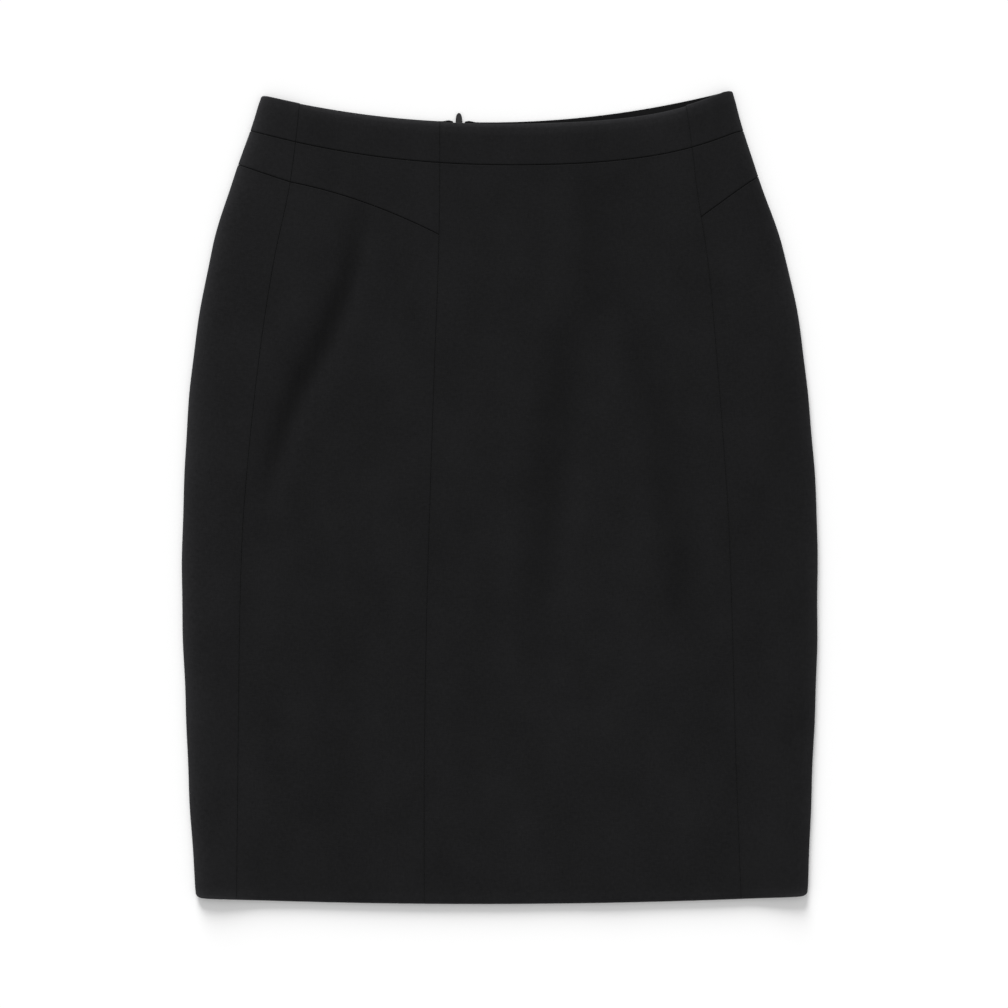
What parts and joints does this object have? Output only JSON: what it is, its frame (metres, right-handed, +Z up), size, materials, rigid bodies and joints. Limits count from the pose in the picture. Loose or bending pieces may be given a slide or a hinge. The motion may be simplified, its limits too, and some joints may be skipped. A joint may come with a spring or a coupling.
{
  "type": "a-line skirt",
  "caption": "Straight knee-length skirt laid flat, with a contoured waistband, a shaped yoke, gored panels and an invisible back zip.",
  "frame": {"origin": "centre of the laid-out skirt's bounding box, on the surface it lies on", "axes": "+Z up from the surface, out of the front of the skirt; +Y from hem to waist; +X to the right as seen from above"},
  "size_m": [0.4705, 0.6024, 0.006],
  "materials": {
    "suiting": "matte black suiting cloth",
    "zip_tape": "woven polyester tape, black",
    "zip_coil": "black nylon coil",
    "zip_metal": "black enamelled zinc, satin"
  },
  "bodies": {
    "skirt": {"waistband_front_left": "suiting", "waistband_front_centre": "suiting", "waistband_front_right": "suiting", "waistband_back_right": "suiting", "waistband_back_left": "suiting", "yoke_front_left": "suiting", "yoke_front_right": "suiting", "yoke_back_right": "suiting", "yoke_back_left": "suiting", "panel_front_left": "suiting", "panel_front_centre": "suiting", "panel_front_right": "suiting", "panel_back_right": "suiting", "panel_back_left": "suiting", "zip_tape_left": "zip_tape", "zip_tape_right": "zip_tape", "zip_coil_left": "zip_coil", "zip_coil_right": "zip_coil", "zip_slider": "zip_metal"},
    "pull": {"zip_pull": "zip_metal"}
  },
  "joints": [
    {"name": "pull_swing", "type": "hinge", "parent": "skirt", "child": "pull", "pos_m": [-0.0304, 0.26208, 0.00135], "axis": [-1, 0, 0], "range_deg": [0, 164]}
  ]
}
